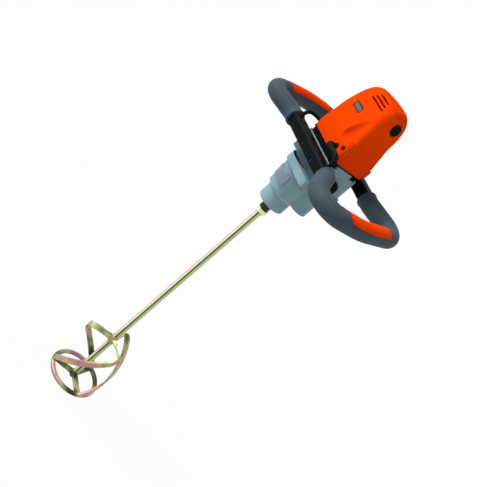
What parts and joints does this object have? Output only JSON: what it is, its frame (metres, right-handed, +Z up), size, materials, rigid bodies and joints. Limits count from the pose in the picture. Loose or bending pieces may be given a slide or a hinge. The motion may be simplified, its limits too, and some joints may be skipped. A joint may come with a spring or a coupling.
{
  "type": "mixing drill",
  "caption": "Two-handed mixing drill with an orange motor housing, grey cast gearbox, loop handles and a long rod with a helical mixing paddle.",
  "frame": {"origin": "on the spindle axis, at the front end of the plain round wall of the gearbox nose", "axes": "+Z up along the spindle axis towards the motor, paddle towards -Z, +X along the handle bars, front of the tool towards -Y"},
  "size_m": [0.4296, 0.2494, 0.893],
  "materials": {
    "casting": "satin",
    "nameplate": "matte",
    "orange_shell": "gloss",
    "palm_rubber": "matte",
    "black_plastic": "matte",
    "grip_rubber": "matte",
    "conduit_rubber": "satin",
    "zinc_steel": "satin",
    "black_steel": "satin",
    "bright_steel": "satin",
    "gear_steel": "satin",
    "bearing_steel": "polished",
    "core_steel": "matte",
    "copper": "satin",
    "brass": "satin",
    "carbon": "matte"
  },
  "bodies": {
    "tool_body": {"nose_casting": "casting", "bearing_plate": "casting", "gear_case": "casting", "baffle_plate": "black_plastic", "motor_housing": "orange_shell", "stator_core": "core_steel", "field_coils": "copper", "brush_holders": "brass", "carbon_brushes": "carbon", "brush_caps": "black_plastic", "front_bar": "black_plastic", "rear_bar": "black_plastic", "bar_screws": "bright_steel", "right_grip": "grip_rubber", "left_grip": "grip_rubber", "right_palm_pad": "palm_rubber", "left_palm_pad": "palm_rubber", "trigger_pin": "bright_steel", "switch_body": "black_plastic", "left_conduit": "conduit_rubber", "right_conduit": "conduit_rubber", "nameplate": "nameplate", "label_plate": "nameplate", "flange_screws": "bright_steel", "housing_screw": "bright_steel", "shaft_seal": "conduit_rubber", "spindle_front_bearing": "bearing_steel", "spindle_rear_bearing": "bearing_steel", "layshaft_lower_bearing": "bearing_steel", "layshaft_upper_bearing": "bearing_steel", "motor_lower_bearing": "bearing_steel", "motor_upper_bearing": "bearing_steel"},
    "spindle_group": {"spindle": "black_steel", "spindle_gear": "gear_steel", "spindle_circlip": "bright_steel", "mixing_rod": "zinc_steel", "lock_nut": "zinc_steel", "paddle_ring": "zinc_steel", "paddle_blades": "zinc_steel", "paddle_spokes": "zinc_steel"},
    "layshaft_group": {"layshaft": "gear_steel", "layshaft_gear": "gear_steel"},
    "armature_group": {"armature_shaft": "gear_steel", "armature_core": "core_steel", "armature_windings": "copper", "commutator": "copper", "cooling_fan": "black_plastic"},
    "trigger_group": {"trigger": "black_plastic"},
    "lock_group": {"lock_button": "black_plastic"},
    "selector_group": {"speed_knob": "black_plastic"}
  },
  "joints": [
    {"name": "spindle_spin", "type": "hinge", "parent": "tool_body", "child": "spindle_group", "pos_m": [0, 0, 0.05], "axis": [0, 0, 1], "continuous": true},
    {"name": "layshaft_spin", "type": "hinge", "parent": "tool_body", "child": "layshaft_group", "pos_m": [0.02725, 0.02705, 0.09], "axis": [0, 0, 1], "continuous": true},
    {"name": "armature_spin", "type": "hinge", "parent": "tool_body", "child": "armature_group", "pos_m": [0, 0.02, 0.2], "axis": [0, 0, 1], "continuous": true},
    {"name": "trigger_pull", "type": "hinge", "parent": "tool_body", "child": "trigger_group", "pos_m": [0.17729, 0.05767, 0.12979], "axis": [-0.8426, -0.233, 0.4855], "range_deg": [0, 6], "stiffness_Nm_per_rad": 0.4},
    {"name": "lock_button_press", "type": "slide", "parent": "tool_body", "child": "lock_group", "axis": [0.8426, 0.233, -0.4855], "range_m": [0, 0.0025], "stiffness_N_per_m": 400},
    {"name": "speed_knob_turn", "type": "hinge", "parent": "tool_body", "child": "selector_group", "pos_m": [0.059, 0.006, 0.115], "axis": [1, 0, 0], "range_deg": [0, 90]}
  ],
  "couplings": [
    {"joint": "layshaft_spin", "follows": "spindle_spin", "ratio": -3.6364},
    {"joint": "armature_spin", "follows": "spindle_spin", "ratio": 16.727}
  ]
}
